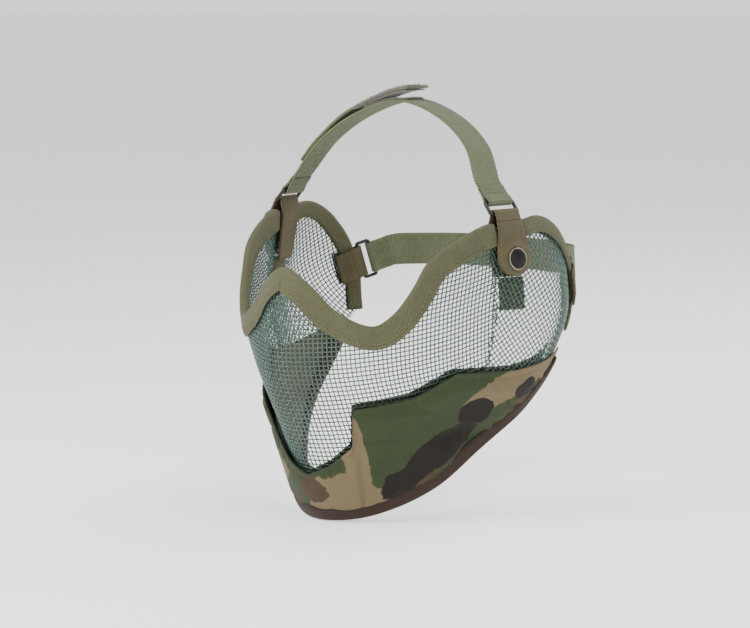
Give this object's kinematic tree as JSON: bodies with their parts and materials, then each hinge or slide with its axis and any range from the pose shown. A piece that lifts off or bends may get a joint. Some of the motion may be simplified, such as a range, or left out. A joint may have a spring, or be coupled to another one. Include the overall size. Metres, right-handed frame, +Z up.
{
  "type": "camouflage mesh face mask",
  "caption": "Half-face mask of formed wire mesh with ear domes, padded camouflage jaw, bound edges and elastic head and rear straps on wire rings with snap tabs.",
  "frame": {"origin": "the centre of the wearer's head, midway between the ear domes at eye-socket height, where the mount wearer_head is", "axes": "+X to the wearer's left, across the mask's narrowest extent; +Y out of the open back, so the mask faces -Y; +Z up"},
  "size_m": [0.1974, 0.2371, 0.2491],
  "materials": {
    "painted_wire_mesh": "grey-green painted woven steel wire",
    "olive_webbing": "olive twill tape",
    "tab_webbing": "tan-olive webbing, sewn",
    "elastic_strap": "ribbed elastic webbing",
    "hook_loop_tape": "fuzzy hook and loop tape",
    "camo_fabric": "woodland camouflage twill, padded and stitched",
    "dark_hem": "dark brown edge tape",
    "jaw_lining": "soft woven lining",
    "jaw_foam": "closed-cell foam",
    "ring_wire": "blackened steel wire",
    "snap_cap": "black enamel, bright at the rim",
    "snap_steel": "plated steel"
  },
  "bodies": {
    "mask": {"anchor_strip_left": "olive_webbing", "anchor_strip_right": "olive_webbing", "ear_edge_binding_left": "olive_webbing", "ear_edge_binding_right": "olive_webbing", "ear_mesh_left": "painted_wire_mesh", "ear_mesh_right": "painted_wire_mesh", "eye_edge_binding": "olive_webbing", "face_mesh": "painted_wire_mesh", "head_loop_tape": "hook_loop_tape", "head_strap": "elastic_strap", "head_strap_return": "elastic_strap", "jaw_cover": "camo_fabric", "jaw_edge_binding": "dark_hem", "jaw_foam": "jaw_foam", "jaw_lining": "jaw_lining", "rear_anchor_left": "tab_webbing", "rear_anchor_right": "tab_webbing", "rear_loop_tape": "hook_loop_tape", "rear_strap": "elastic_strap", "rear_strap_return": "elastic_strap", "snap_rivet_left": "snap_steel", "snap_rivet_right": "snap_steel", "snap_stud_left": "snap_steel", "snap_stud_right": "snap_steel", "tab_left": "tab_webbing", "tab_right": "tab_webbing"},
    "head_ring_left": {"head_ring_left": "ring_wire", "strap_loop_left": "elastic_strap"},
    "rear_ring_left": {"rear_ring_left": "ring_wire", "rear_loop_left": "elastic_strap"},
    "tab_flap_left": {"tab_flap_left": "tab_webbing", "snap_cap_left": "snap_cap", "snap_socket_left": "snap_steel"},
    "head_ring_right": {"head_ring_right": "ring_wire", "strap_loop_right": "elastic_strap"},
    "rear_ring_right": {"rear_ring_right": "ring_wire", "rear_loop_right": "elastic_strap"},
    "tab_flap_right": {"tab_flap_right": "tab_webbing", "snap_cap_right": "snap_cap", "snap_socket_right": "snap_steel"},
    "head_tail": {"head_tail": "hook_loop_tape", "head_hook_tape": "hook_loop_tape"},
    "rear_tail": {"rear_tail": "hook_loop_tape", "rear_hook_tape": "hook_loop_tape"}
  },
  "joints": [
    {"name": "head_ring_swing_left", "type": "hinge", "parent": "mask", "child": "head_ring_left", "pos_m": [0.08135, -0.01703, 0.06012], "axis": [0.1369, 0.9906, 0], "range_deg": [-10, 25], "stiffness_Nm_per_rad": 0.02},
    {"name": "head_ring_swing_right", "type": "hinge", "parent": "mask", "child": "head_ring_right", "pos_m": [-0.08135, -0.01703, 0.06012], "axis": [0.1369, -0.9906, 0], "range_deg": [-10, 25], "stiffness_Nm_per_rad": 0.02},
    {"name": "rear_ring_swing_left", "type": "hinge", "parent": "mask", "child": "rear_ring_left", "pos_m": [0.07932, 0.0536, 0.01664], "axis": [-0.1058, 0.2823, -0.9535], "range_deg": [-10, 25], "stiffness_Nm_per_rad": 0.02},
    {"name": "rear_ring_swing_right", "type": "hinge", "parent": "mask", "child": "rear_ring_right", "pos_m": [-0.07932, 0.0536, 0.01664], "axis": [-0.1058, -0.2823, 0.9535], "range_deg": [-10, 25], "stiffness_Nm_per_rad": 0.02},
    {"name": "tab_flap_open_left", "type": "hinge", "parent": "mask", "child": "tab_flap_left", "pos_m": [0.08733, -0.01804, 0.05278], "axis": [-0.1369, -0.9906, 0], "range_deg": [0, 110]},
    {"name": "tab_flap_open_right", "type": "hinge", "parent": "mask", "child": "tab_flap_right", "pos_m": [-0.08733, -0.01804, 0.05278], "axis": [-0.1369, 0.9906, 0], "range_deg": [0, 110]},
    {"name": "head_tail_peel", "type": "hinge", "parent": "mask", "child": "head_tail", "pos_m": [-0.03395, -0.00318, 0.11736], "axis": [0.1143, -0.9927, 0.0398], "range_deg": [0, 70]},
    {"name": "rear_tail_peel", "type": "hinge", "parent": "mask", "child": "rear_tail", "pos_m": [-0.03263, 0.10576, 0.02326], "axis": [0.0154, -0.0526, 0.9985], "range_deg": [0, 70]}
  ]
}
